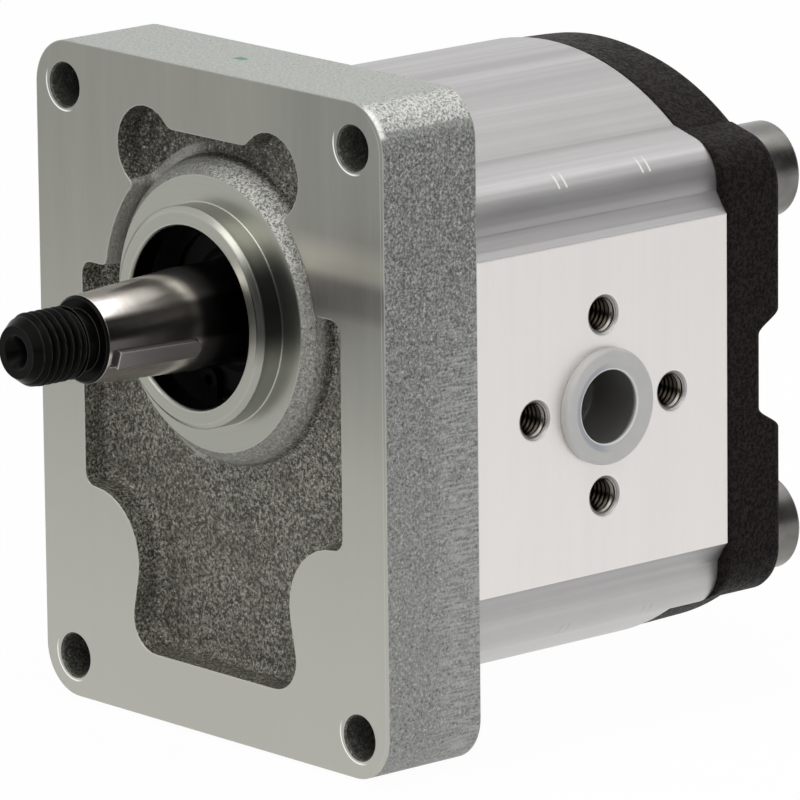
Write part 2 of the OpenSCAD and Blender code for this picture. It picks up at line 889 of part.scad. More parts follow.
// Push-in plastic plug: a flat lip on the port face and a thin cup in the port
module port_plug() {
    color([0.80, 0.83, 0.84, 0.6])
        translate([port_x, mid_y, body_z])
            rotate([0, 90, 0])
                rotate_extrude()
                    polygon([
                        [0, -plug_depth], [plug_r - 0.5, -plug_depth], [plug_r, -plug_depth + 0.5],
                        [plug_r, 0], [plug_lip_r, 0], [plug_lip_r, plug_lip_t - 0.4],
                        [plug_lip_r - 0.4, plug_lip_t], [plug_r + 0.4, plug_lip_t],
                        [plug_r - 0.2, plug_lip_t - 0.3], [plug_r - plug_wall, plug_lip_t - 1],
                        [plug_r - plug_wall, -plug_depth + plug_floor], [0, -plug_depth + plug_floor]
                    ]);
}

module pressure_port_plug() {
    port_plug();
}

module suction_port_plug() {
    mirror([1, 0, 0])
        port_plug();
}

front_cover();
pump_body();
rear_cover();
drive_gear();
driven_gear();
front_bearing_block();
rear_bearing_block();
drive_front_bush();
driven_front_bush();
drive_rear_bush();
driven_rear_bush();
front_pressure_seal();
rear_pressure_seal();
front_backup_ring();
rear_backup_ring();
front_case_seal();
rear_case_seal();
shaft_seal();
garter_spring();
seal_retaining_ring();
shaft_key();
cover_bolts();
front_dowels();
rear_dowels();
pressure_port_plug();
suction_port_plug();
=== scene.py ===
import bpy
import numpy as np
from mathutils import Matrix, Vector


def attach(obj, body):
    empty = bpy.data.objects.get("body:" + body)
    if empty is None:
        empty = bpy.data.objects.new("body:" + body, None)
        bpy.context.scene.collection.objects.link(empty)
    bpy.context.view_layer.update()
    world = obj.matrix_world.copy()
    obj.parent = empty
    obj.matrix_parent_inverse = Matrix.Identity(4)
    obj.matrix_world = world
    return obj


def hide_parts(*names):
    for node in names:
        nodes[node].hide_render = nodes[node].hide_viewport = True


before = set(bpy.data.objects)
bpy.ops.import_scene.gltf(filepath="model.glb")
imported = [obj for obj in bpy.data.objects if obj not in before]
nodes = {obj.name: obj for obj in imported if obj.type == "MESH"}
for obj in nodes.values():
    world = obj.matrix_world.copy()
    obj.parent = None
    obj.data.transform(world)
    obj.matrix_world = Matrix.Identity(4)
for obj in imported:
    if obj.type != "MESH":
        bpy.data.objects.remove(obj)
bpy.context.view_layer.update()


# Front cover: an iron casting with a ground mounting face and pilot. The recess and the sides
# keep the sand-cast skin. The mounting face is dull grey-green with fine grinding lines, and a
# small dab of green inspection paint sits on its top edge.
mm = 0.001
flange_half_x, flange_half_z, flange_middle_z = 43 * mm, 55.25 * mm, -15.25 * mm
flange_top = flange_middle_z + flange_half_z
# Radii from the shaft's axis, then the flange holes' places from the flange's middle
boss_r, pilot_foot_r, pilot_edge_r, seal_bore_r = 24.5 * mm, 18.4 * mm, 17 * mm, 15.4 * mm
hole_x, hole_z, burr_r, blur = 35.75 * mm, 48.1 * mm, 4.62 * mm, 0.1 * mm


def feed(tree, node, sockets):
    """Links or sets each named socket of a node."""
    for name, value in sockets.items():
        if isinstance(value, bpy.types.NodeSocket):
            tree.links.new(value, node.inputs[name])
        else:
            node.inputs[name].default_value = value


def wire(tree, kind, sockets, **settings):
    """Adds one shader node with its settings and sockets, and returns the node."""
    made = tree.nodes.new("ShaderNode" + kind)
    for name, value in settings.items():
        setattr(made, name, value)
    feed(tree, made, sockets)
    return made


def maths(tree, operation, a, b=0.0, clamp=False):
    """One Math node: operation on a and b."""
    return wire(tree, "Math", {0: a, 1: b}, operation=operation, use_clamp=clamp).outputs[0]


def vector_maths(tree, operation, a, b=(0, 0, 0)):
    """One Vector Math node: operation on a and b. A length or a dot product is a number."""
    result = "Value" if operation in ("LENGTH", "DOT_PRODUCT") else "Vector"
    return wire(tree, "VectorMath", {0: a, 1: b}, operation=operation).outputs[result]


def axes(tree, place):
    """The x, y and z of a place."""
    return tuple(wire(tree, "SeparateXYZ", {0: place}).outputs)


def opaque(colour):
    """Three numbers as a colour with no see-through, or a colour socket as it is."""
    return (*colour, 1.0) if isinstance(colour, tuple) else colour


def mixed(tree, mask, low, high):
    """Colour low where the mask is 0 and high where it is 1."""
    colours = {0: mask, 6: opaque(low), 7: opaque(high)}
    return wire(tree, "Mix", colours, data_type="RGBA").outputs[2]


def painted(tree, under, *coats):
    """The colour under, covered in turn by coats of (mask, strength, colour)."""
    for mask, strength, colour in coats:
        cover = mask if strength == 1 else maths(tree, "MULTIPLY", mask, strength)
        under = mixed(tree, cover, under, colour)
    return under


def blended(tree, mask, low, high):
    """Number low where the mask is 0 and high where it is 1."""
    return wire(tree, "Mix", {0: mask, 2: low, 3: high}, data_type="FLOAT").outputs[0]


def stepped(tree, value, start, end):
    """A mask that rises smoothly from 0 at start to 1 at end, whichever of them is greater."""
    sockets = {"Value": value, "From Min": start, "From Max": end}
    return wire(tree, "MapRange", sockets, interpolation_type="SMOOTHSTEP").outputs[0]


def away(tree, value, middle):
    """How far the value is from the middle, on either side."""
    return maths(tree, "ABSOLUTE", maths(tree, "SUBTRACT", value, middle))


def band(tree, value, middle, half, soft):
    """A mask that is 1 within half of the middle and fades to 0 over soft."""
    return stepped(tree, away(tree, value, middle), half + soft, half)


def all_of(tree, first, *others):
    """A mask that is 1 only where every given mask is: their product."""
    for other in others:
        first = maths(tree, "MULTIPLY", first, other)
    return first


def noise(tree, place, scale, detail):
    """Noise at a place, with the given fineness and detail."""
    sockets = {"Vector": place, "Scale": scale, "Detail": detail}
    return wire(tree, "TexNoise", sockets).outputs[0]


def new_finish(name):
    """An empty node material: its tree, its Principled shader and the object coordinates."""
    finish = bpy.data.materials.new(name)
    finish.use_nodes = True
    tree = finish.node_tree
    place = tree.nodes.new("ShaderNodeTexCoord").outputs["Object"]
    return finish, tree, tree.nodes["Principled BSDF"], place


def effect(name, inputs, outputs):
    """An empty shader node group with the given inputs and numeric outputs."""
    group = bpy.data.node_groups.new(name, "ShaderNodeTree")
    for label, kind in inputs:
        group.interface.new_socket(label, in_out="INPUT", socket_type="NodeSocket" + kind)
    for label in outputs:
        group.interface.new_socket(label, in_out="OUTPUT", socket_type="NodeSocketFloat")
    given = group.nodes.new("NodeGroupInput").outputs
    return group, given, group.nodes.new("NodeGroupOutput")


def placed(tree, group, sockets):
    """Places an effect group in a material with its own values."""
    return wire(tree, "Group", sockets, node_tree=group).outputs


def cast_skin_effect():
    """Sand-cast skin from three sizes of noise. Height adds lumps, grains and grit. Tone is the
    grains and grit pulled to strong contrast, Painted Highlight is a painted glint on the few
    bright grains, Pit marks the few dark ones, and Cloud is a slow stain."""
    group, given, out = effect(
        "cast skin", [("Place", "Vector"), ("Grain", "Float")],
        ["Height", "Tone", "Painted Highlight", "Pit", "Cloud"],
    )
    lumps, grains, grit, stain = (
        noise(group, given["Place"], maths(group, "MULTIPLY", given["Grain"], share), detail)
        for share, detail in ((0.2, 3.0), (1.0, 3.0), (2.1, 2.0), (0.05, 4.0))
    )
    grains, grit = maths(group, "MULTIPLY", grains, 0.55), maths(group, "MULTIPLY", grit, 0.45)
    fine = maths(group, "ADD", grains, grit)
    feed(group, out, {
        "Height": maths(group, "ADD", maths(group, "MULTIPLY", lumps, 0.9), fine),
        "Tone": stepped(group, fine, 0.43, 0.57),
        "Painted Highlight": stepped(group, fine, 0.57, 0.66),
        "Pit": stepped(group, fine, 0.41, 0.35),
        "Cloud": stepped(group, stain, 0.35, 0.65),
    })
    return group


def tool_lines_effect():
    """Fine parallel lines of grinding, drawing or extrusion. The place comes in already drawn out
    along the lines. Height is fine noise on it, and Tone mixes that with noise 8 times as wide."""
    group, given, out = effect(
        "tool lines", [("Place", "Vector"), ("Pitch", "Float")], ["Height", "Tone"]
    )
    fine = noise(group, given["Place"], given["Pitch"], 3.0)
    wide = noise(group, given["Place"], maths(group, "MULTIPLY", given["Pitch"], 0.13), 2.0)
    fine_share = maths(group, "MULTIPLY", fine, 0.4)
    wide_share = maths(group, "MULTIPLY", wide, 0.6)
    feed(group, out, {"Height": fine, "Tone": maths(group, "ADD", fine_share, wide_share)})
    return group


def worn_edge_effect():
    """Bare edges: how far the rounded normal turns away from the flat one, times Amount."""
    group, given, out = effect(
        "worn edge", [("Rounded", "Vector"), ("Flat", "Vector"), ("Amount", "Float")], ["Mask"]
    )
    likeness = vector_maths(group, "DOT_PRODUCT", given["Rounded"], given["Flat"])
    turn = maths(group, "SUBTRACT", 1.0, likeness)
    feed(group, out, {"Mask": maths(group, "MULTIPLY", turn, given["Amount"], clamp=True)})
    return group


cast_skin = cast_skin_effect()
tool_lines = tool_lines_effect()
worn_edge = worn_edge_effect()


def drawn_lines(tree, place, draw, pitch):
    """Tool lines, drawn out along each axis whose factor in draw is small."""
    along = wire(tree, "Mapping", {"Vector": place, "Scale": draw}).outputs[0]
    return placed(tree, tool_lines, {"Place": along, "Pitch": pitch})


def rounded_edges(tree, radius, amount):
    """A normal that rolls over sharp edges within the radius, and the mask of the worn edge."""
    rolled = wire(tree, "Bevel", {"Radius": radius}, samples=6).outputs[0]
    flat = tree.nodes.new("ShaderNodeNewGeometry").outputs["Normal"]
    worn = placed(tree, worn_edge, {"Rounded": rolled, "Flat": flat, "Amount": amount})
    return rolled, worn["Mask"]


def bumped(tree, shader, height, distance, strength, normal=None):
    """Feeds a Bump node of the given height and depth into the shader's normal."""
    sockets = {"Height": height, "Distance": distance, "Strength": strength}
    if normal is not None:
        sockets["Normal"] = normal
    feed(tree, shader, {"Normal": wire(tree, "Bump", sockets).outputs[0]})


def front_cover_finish():
    """Masks by place on the cover choose between the ground face, the turned pilot and boss, and
    the cast skin of the recess and the sides."""
    finish, tree, shader, place = new_finish("cover iron")
    x, y, z = axes(tree, place)
    from_shaft = vector_maths(tree, "LENGTH", vector_maths(tree, "MULTIPLY", place, (1, 0, 1)))
    rolled, wear = rounded_edges(tree, 0.45 * mm, 3.0)

    # Distance outside a box 8 mm smaller all round, which is 8 mm all along the flange's rim
    from_middle = vector_maths(tree, "SUBTRACT", place, (0, 0, flange_middle_z))
    quarter = vector_maths(tree, "ABSOLUTE", from_middle)
    inner_box = (flange_half_x - 8 * mm, 1, flange_half_z - 8 * mm)
    offset = vector_maths(tree, "MAXIMUM", vector_maths(tree, "SUBTRACT", quarter, inner_box))
    to_rim = vector_maths(tree, "LENGTH", offset)
    rim = stepped(tree, to_rim, 7.6 * mm, 7.9 * mm)
    top = all_of(tree, rim, stepped(tree, z, flange_top - 7 * mm, flange_top - 1 * mm))

    # Flange holes, each with a burr round it and a painted highlight on the burr's lower left
    from_hole = vector_maths(tree, "SUBTRACT", quarter, (hole_x, 0, hole_z))
    from_hole = vector_maths(tree, "MULTIPLY", from_hole, (1, 0, 1))
    hole_radius = vector_maths(tree, "LENGTH", from_hole)
    painted_shade_in_hole = stepped(tree, hole_radius, 4.75 * mm, 4.6 * mm)
    flip = vector_maths(tree, "SIGN", from_middle)
    from_hole = vector_maths(tree, "MULTIPLY", from_hole, flip)
    lower_left = vector_maths(tree, "DOT_PRODUCT", from_hole, (-1, 0, -1))
    painted_burr_highlight = all_of(
        tree, band(tree, hole_radius, burr_r, 0.1 * mm, 0.08 * mm),
        stepped(tree, lower_left, 2 * mm, 5 * mm), stepped(tree, y, 0.9 * mm, 0.7 * mm),
    )

    # Ground mounting face: faint lines up and down, a painted reflection that darkens it towards
    # the top, painted shade over its upper port side, and a pale and a dark band of painted
    # reflection on the port side
    lines = drawn_lines(tree, place, (1.0, 1.0, 0.04), 2200.0)
    port_side = stepped(tree, x, 12 * mm, 26 * mm)
    upper = all_of(tree, port_side, stepped(tree, z, -24 * mm, 0))
    pale = all_of(tree, band(tree, z, 13.2 * mm, 0.4 * mm, 4.5 * mm), port_side)
    dark = all_of(tree, band(tree, z, 7.9 * mm, 1.6 * mm, 2.6 * mm), port_side)
    edge_line = band(tree, to_rim, 7.25 * mm, 0.05 * mm, 0.1 * mm)
    edge_line = all_of(tree, edge_line, stepped(tree, x, 38 * mm, 42 * mm))
    painted_light_downwards = stepped(tree, z, 35 * mm, -68 * mm)
    ground = painted(
        tree, mixed(tree, painted_light_downwards, (0.24, 0.24, 0.215), (0.45, 0.445, 0.40)),
        (upper, 0.5, (0.17, 0.17, 0.16)),
        (pale, 0.75, (0.40, 0.395, 0.335)),
        (dark, 0.85, (0.125, 0.12, 0.115)),
        (lines["Tone"], 0.25, (0.5, 0.5, 0.45)),
        (edge_line, 0.35, (0.6, 0.6, 0.56)),
    )

    # Turned pilot and boss: fine rings round the shaft, and a painted reflection: a dark patch on
    # the pilot and the annulus on the port side
    spun = wire(tree, "CombineXYZ", {"X": from_shaft, "Y": y}).outputs[0]
    rings = placed(tree, tool_lines, {"Place": spun, "Pitch": 3500.0})
    is_turned = stepped(tree, from_shaft, boss_r + blur, boss_r - blur)
    on_annulus = stepped(tree, from_shaft, pilot_foot_r - blur, pilot_foot_r + blur)
    painted_dark_sector = all_of(
        tree, stepped(tree, from_shaft, pilot_edge_r - blur, pilot_edge_r + blur),
        band(tree, z, 4.5 * mm, 4 * mm, 7 * mm), stepped(tree, x, 9 * mm, 17 * mm),
        blended(tree, on_annulus, 0.94, 0.6),
    )
    turned = mixed(tree, rings["Tone"], (0.27, 0.275, 0.24), (0.42, 0.42, 0.375))
    turned = painted(tree, turned, (painted_dark_sector, 1, (0.03, 0.032, 0.028)))
    ground = mixed(tree, is_turned, ground, turned)

    # Cast floor of the recess: brown and dark grains, with painted shade at the top, and painted
    # light on the boss flank, on its grains at the upper right and on the wall beside the ring
    skin = placed(tree, cast_skin, {"Place": place, "Grain": 2100.0})
    painted_shade_upper_floor = all_of(
        tree, stepped(tree, z, 15 * mm, 23 * mm),
        blended(tree, stepped(tree, x, 4 * mm, 16 * mm), 0.45, 0.2),
    )
    painted_light_boss_flank = all_of(
        tree, band(tree, from_shaft, 24.2 * mm, 1.7 * mm, 0.6 * mm),
        stepped(tree, y, 4.2 * mm, 2.6 * mm),
    )
    painted_light_ring_wall = all_of(
        tree, band(tree, from_shaft, 26.6 * mm, 0.7 * mm, 0.3 * mm),
        stepped(tree, x, -4 * mm, -10 * mm),
    )
    painted_lit_side = all_of(tree, stepped(tree, x, -4 * mm, 8 * mm), stepped(tree, z, 6 * mm, 14 * mm))
    painted_lit_grains = all_of(tree, all_of(tree, painted_light_boss_flank, painted_lit_side), skin["Tone"])
    floor_skin = painted(
        tree, mixed(tree, skin["Tone"], (0.026, 0.024, 0.018), (0.31, 0.30, 0.255)),
        (skin["Cloud"], 0.35, (0.10, 0.092, 0.072)),
        (painted_shade_upper_floor, 1, (0.02, 0.02, 0.016)),
        (painted_light_boss_flank, 0.5, (0.45, 0.45, 0.42)),
        (painted_light_ring_wall, 0.6, (0.55, 0.55, 0.51)),
        (painted_lit_grains, 1, (0.66, 0.66, 0.61)),
    )

    # Cast sides of the flange: paler, with painted shade towards the top of the sides, painted
    # light on the top face and painted highlights at its port-side corner and front edge there
    corner = all_of(
        tree, rim, band(tree, z, 37.7 * mm, 1.6 * mm, 0.6 * mm),
        stepped(tree, x, 30 * mm, 36 * mm),
    )
    painted_corner_glints = mixed(tree, skin["Tone"], (0.3, 0.3, 0.28), (0.9, 0.9, 0.86))
    painted_nose_highlight = all_of(
        tree, rim, stepped(tree, y, 1.5 * mm, 0.6 * mm),
        band(tree, z, 37 * mm, 1.6 * mm, 1 * mm), stepped(tree, x, 33 * mm, 37 * mm),
    )
    painted_light_downwards = stepped(tree, z, 28 * mm, -60 * mm)
    rim_skin = painted(
        tree, mixed(tree, painted_light_downwards, (0.13, 0.134, 0.13), (0.25, 0.254, 0.246)),
        (skin["Tone"], 0.6, (0.45, 0.455, 0.43)),
        (top, 0.6, (0.52, 0.54, 0.50)),
        (corner, 0.6, painted_corner_glints),
        (painted_nose_highlight, 1, (0.95, 0.95, 0.92)),
    )

    # Painted glints on the bright grains, dark grains everywhere, and drag marks where the sides
    # were fettled
    drag = drawn_lines(tree, place, (1.0, 0.1, 1.0), 2300.0)
    dragged = all_of(
        tree, rim, stepped(tree, y, 8 * mm, 14 * mm), stepped(tree, z, 12 * mm, -8 * mm),
        stepped(tree, drag["Height"], 0.42, 0.62),
    )
    skin_colour = painted(
        tree, mixed(tree, rim, floor_skin, rim_skin),
        (skin["Painted Highlight"], 0.75, (0.66, 0.66, 0.61)),
        (skin["Pit"], 0.8, (0.03, 0.028, 0.024)),
        (dragged, 0.5, (0.55, 0.55, 0.53)),
    )

    # All together, with bare edges, painted shade in the holes and the seal bore, and the dab of
    # paint
    cast = stepped(tree, y, 0.02 * mm, 0.06 * mm)
    unworn = all_of(tree, painted_dark_sector, is_turned)
    bare = all_of(tree, wear, maths(tree, "SUBTRACT", 0.7, unworn))
    painted_shade_bore = all_of(
        tree, stepped(tree, from_shaft, seal_bore_r + blur, seal_bore_r - blur),
        stepped(tree, y, -4.1 * mm, -3.6 * mm),
    )
    dab = all_of(
        tree, band(tree, x, -3.3 * mm, 0.9 * mm, 0.7 * mm),
        band(tree, y, 10.3 * mm, 0.5 * mm, 0.6 * mm),
        stepped(tree, z, flange_top - 0.4 * mm, flange_top - 0.1 * mm),
    )
    colour = painted(
        tree, mixed(tree, cast, ground, skin_colour),
        (bare, 1, (0.82, 0.82, 0.76)),
        (all_of(tree, painted_shade_in_hole, cast), 0.55, (0.05, 0.053, 0.045)),
        (painted_burr_highlight, 1, (0.95, 0.95, 0.93)),
        (painted_shade_bore, 1, (0.006, 0.006, 0.006)),
        (dab, 0.85, (0.02, 0.22, 0.11)),
    )
    machined = maths(tree, "SUBTRACT", 1.0, cast)
    finish_lines = blended(tree, is_turned, lines["Height"], rings["Height"])
    faint_lines = maths(tree, "MULTIPLY", finish_lines, 0.06)
    height = blended(tree, cast, faint_lines, skin["Height"])
    height = maths(tree, "ADD", height, maths(tree, "MULTIPLY", dragged, 0.2))
    feed(tree, shader, {
        "Base Color": colour,
        "Metallic": blended(tree, machined, 0.35, 0.9),
        "Roughness": blended(tree, machined, 0.5, blended(tree, is_turned, 0.36, 0.28)),
    })
    bumped(tree, shader, height, 0.4 * mm, 0.9, rolled)
    return finish


def dress(finish, *names):
    """Gives CAD nodes their finish."""
    for name in names:
        for holder in nodes[name].material_slots:
            holder.material = finish


dress(front_cover_finish(), "front_cover")


# Pump body: a length of extruded aluminium. Its die lines run along the shaft, and the two port
# faces are milled bright. Two small pairs of short marks on its lobes show where it was clamped.
pump_z = -15.5 * mm
port_y = 46.75 * mm
port_face = 43 * mm
clamp_middle_y, clamp_half, clamp_up = 50.5 * mm, 9.1 * mm, 37.2 * mm


def from_port_axis(tree, y, z):
    """Distance from the axis of the two ports, which runs along X."""
    aside, above = maths(tree, "SUBTRACT", y, port_y), maths(tree, "SUBTRACT", z, pump_z)
    across = wire(tree, "CombineXYZ", {"X": aside, "Y": above}).outputs[0]
    return vector_maths(tree, "LENGTH", across)


def pump_body_finish():
    """Masks by distance from the middle choose between the extruded skin and the milled face."""
    finish, tree, shader, place = new_finish("extruded aluminium")
    x, y, z = axes(tree, place)
    drawn = drawn_lines(tree, place, (1.0, 0.012, 1.0), 800.0)
    milled = drawn_lines(tree, place, (1.0, 1.0, 0.03), 2400.0)
    cloud = noise(tree, place, 120.0, 6.0)
    rolled, wear = rounded_edges(tree, 0.35 * mm, 2.0)
    out = maths(tree, "ABSOLUTE", x)
    face = stepped(tree, out, port_face - 0.07 * mm, port_face - 0.02 * mm)
    inside = stepped(tree, out, port_face - 0.1 * mm, port_face - 0.4 * mm)
    # Painted shade: the bore of each port is darkened
    painted_shade_in_port = stepped(tree, from_port_axis(tree, y, z), 7.2 * mm, 6.9 * mm)

    # Painted shade darkens the crowns towards the lobes and, faintly, the lobes; painted light
    # makes the underside paler
    lobe_shade = all_of(tree, stepped(tree, out, 36.5 * mm, 40 * mm), inside)
    painted_shade_crown_side = all_of(
        tree, stepped(tree, out, 18 * mm, 27 * mm), stepped(tree, z, 8 * mm, 20 * mm),
        stepped(tree, out, 33 * mm, 31 * mm),
    )
    painted_light_underside = stepped(tree, z, -42 * mm, -56 * mm)

    # Two pairs of short clamp marks, pale on the upper lobe and dark on the lower one
    mark_at = away(tree, away(tree, y, clamp_middle_y), clamp_half)
    marks = all_of(
        tree, band(tree, mark_at, 0.8 * mm, 0.12 * mm, 0.12 * mm),
        band(tree, away(tree, z, pump_z), clamp_up, 0.9 * mm, 0.4 * mm), lobe_shade,
    )
    above = stepped(tree, z, pump_z - 1 * mm, pump_z + 1 * mm)
    mark_colour = mixed(tree, above, (0.3, 0.29, 0.28), (0.85, 0.84, 0.82))
    mark_cover = all_of(tree, marks, blended(tree, above, 0.35, 0.9))

    streaks = stepped(tree, drawn["Tone"], 0.36, 0.64)
    skin_colour = painted(
        tree, mixed(tree, streaks, (0.38, 0.37, 0.37), (0.48, 0.47, 0.47)),
        (painted_shade_crown_side, 0.45, (0.24, 0.235, 0.23)),
        (lobe_shade, 0.05, (0.20, 0.195, 0.19)),
        (painted_light_underside, 0.62, (0.72, 0.71, 0.70)),
        (mark_cover, 1, mark_colour),
    )
    face_colour = mixed(tree, milled["Tone"], (0.86, 0.828, 0.803), (0.94, 0.905, 0.88))
    colour = painted(
        tree, mixed(tree, face, skin_colour, face_colour),
        (wear, 0.8, (0.85, 0.84, 0.83)),
        (all_of(tree, painted_shade_in_port, inside), 1, (0.10, 0.095, 0.08)),
    )
    faint_milling = maths(tree, "MULTIPLY", milled["Height"], 0.3)
    height = blended(tree, face, drawn["Height"], faint_milling)
    feed(tree, shader, {
        "Base Color": colour,
        "Metallic": 0.88,
        "Roughness": blended(tree, face, blended(tree, cloud, 0.42, 0.54), 0.45),
    })
    bumped(tree, shader, maths(tree, "SUBTRACT", height, marks), 0.06 * mm, 0.6, rolled)
    return finish


dress(pump_body_finish(), "pump_body")


# Port threads: four M6 threads are tapped round each port. Each is a sleeve whose inner wall is
# the 60-degree ridge, one millimetre a turn, set in its drilled hole in the body.
def made_piece(name, points, faces, body, slot, finish):
    """A smooth mesh object from arrays of points and faces, riding on a body and finished."""
    mesh = bpy.data.meshes.new(name)
    mesh.from_pydata(np.asarray(points, dtype=float).tolist(), [], faces)
    mesh.validate()
    mesh.shade_smooth()
    piece = bpy.data.objects.new(name, mesh)
    bpy.context.scene.collection.objects.link(piece)
    piece.data.materials.append(finish)
    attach(piece, body)
    return piece


def lattice_faces(rows, columns, closed_rows=False):
    """Quads over a rows by columns grid of points. Columns wrap round; rows do if closed_rows."""
    last = rows if closed_rows else rows - 1
    r, c = np.meshgrid(np.arange(last), np.arange(columns), indexing="ij")
    up, right = (r + 1) % rows, (c + 1) % columns
    corners = [r * columns + c, r * columns + right, up * columns + right, up * columns + c]
    return np.stack(corners, axis=-1).reshape(-1, 4).tolist()


def facing_out(faces, side):
    """The faces as they are on the pressure side, and turned over on its mirror image."""
    return faces if side > 0 else [face[::-1] for face in faces]


def thread_ridge(along, angle, pitch, steepness, foot):
    """Height of a screw thread's ridge, from 0 to 1: a triangle wave of (distance along the axis /
    pitch - angle / one turn), made steeper and cut flat at its root and its crest."""
    phase = (along / pitch - angle / (2 * np.pi)) % 1.0
    return np.clip(steepness * np.abs(2 * phase - 1) - foot, 0, 1)


def thread_sleeve(side, dy, dz):
    """Rings along X, nine to a turn. The inner radius follows the ridge between the minor and the
    major radius and opens to a chamfered mouth; the outer radius is constant."""
    pitch, minor, major = 1.0 * mm, 2.52 * mm, 2.98 * mm
    start, depth, mouth, turns = 0.35 * mm, 12.6 * mm, 0.9 * mm, 12
    angle = np.linspace(0, 2 * np.pi, 36, endpoint=False)
    t, s = np.meshgrid(angle, np.linspace(start, depth, turns * 9))
    inner = minor + (major - minor) * thread_ridge(s, t, pitch, 1.15, 0.05)
    inner = inner + (major - inner) * np.clip(1 - s / mouth, 0, 1)
    outer = np.full_like(inner, major + 0.01 * mm)
    s, t = np.concatenate([s, s[::-1]]), np.concatenate([t, t[::-1]])
    r = np.concatenate([inner, outer[::-1]])
    y, z = port_y + dy + r * np.cos(t), pump_z + dz + r * np.sin(t)
    points = np.stack([side * (port_face - s), y, z], axis=-1).reshape(-1, 3)
    return points, facing_out(lattice_faces(len(s), len(angle), closed_rows=True), side)


def port_thread_finish():
    """Mottled bare metal, with painted shade that darkens it into the hole."""
    finish, tree, shader, place = new_finish("tapped aluminium")
    cloud = noise(tree, place, 700.0, 4.0)
    out = maths(tree, "ABSOLUTE", axes(tree, place)[0])
    painted_shade_deep = stepped(tree, out, port_face - 0.1 * mm, port_face - 2.4 * mm)
    colour = mixed(tree, cloud, (0.22, 0.20, 0.17), (0.46, 0.435, 0.40))
    feed(tree, shader, {
        "Base Color": painted(tree, colour, (painted_shade_deep, 1, (0.035, 0.029, 0.023))),
        "Metallic": 1.0,
        "Roughness": blended(tree, cloud, 0.2, 0.3),
    })
    bumped(tree, shader, cloud, 0.05 * mm, 0.5)
    return finish


thread_finish = port_thread_finish()
hole_circle = 15 * mm
for side, port in ((1, "pressure"), (-1, "suction")):
    sleeves, quads = [], []
    for dy, dz in ((1, 0), (-1, 0), (0, 1), (0, -1)):
        sleeve, sleeve_quads = thread_sleeve(side, dy * hole_circle, dz * hole_circle)
        quads += (np.array(sleeve_quads) + sum(map(len, sleeves))).tolist()
        sleeves.append(sleeve)
    made_piece(
        port + "_port_threads", np.concatenate(sleeves), quads,
        "housing", "body_aluminium", thread_finish,
    )


# Rear cover: an iron casting, blackened, with rounded edges, a crowned top and bottom, a lobe over
# each bolt and a shallow channel straight across its back. Four bolts hold it to the body.
def rear_outline_radius(theta):
    """Distance from the cover's middle to its edge in direction theta: the outermost of two crown
    arcs cut off beside the lobes, four lobe circles, a straight web tangent to each lobe at 15
    degrees, and the straight flanks between the lobes."""
    c, s = np.abs(np.cos(theta)), np.abs(np.sin(theta))
    crown_r, drop, crown_half, cover_half = 51.466 * mm, 1.166 * mm, 31.8 * mm, 43 * mm
    crown = -s * drop + np.sqrt(crown_r**2 - drop**2 + (s * drop) ** 2)
    crown = np.minimum(crown, crown_half / np.maximum(c, 1e-6))
    lobe_x, lobe_z, lobe_r = 34.5 * mm, 30.2 * mm, 8.5 * mm
    ahead = c * lobe_x + s * lobe_z
    under = lobe_r**2 - (lobe_x**2 + lobe_z**2 - ahead**2)
    lobe = np.where(under > 0, ahead + np.sqrt(np.maximum(under, 0)), 0)
    lean, web_l = np.radians(15), 5.2 * mm
    cos_lean, sin_lean = np.cos(lean), np.sin(lean)
    web = (sin_lean * lobe_x + cos_lean * lobe_z + lobe_r) / (c * sin_lean + s * cos_lean)
    along = -(web * c - lobe_x) * cos_lean + (web * s - lobe_z) * sin_lean
    web = np.where((along >= 0) & (along <= web_l), web, 0)
    flank = cover_half / np.maximum(c, 1e-6)
    flank = np.where(s * flank <= lobe_z, flank, 0)
    return np.max([crown, lobe, web, flank], axis=0)


def capped_faces(rows, columns):
    """Quads over a stack of rings, then a fan of triangles that closes the first ring and one that
    closes the last. Their two middle points are numbered after all the rings' points."""
    turn = np.arange(columns)
    after, low = (turn + 1) % columns, (rows - 1) * columns
    middle = np.full(columns, rows * columns)
    first_fan = np.stack([middle, after, turn], axis=-1)
    last_fan = np.stack([middle + 1, low + turn, low + after], axis=-1)
    return lattice_faces(rows, columns) + first_fan.tolist() + last_fan.tolist()


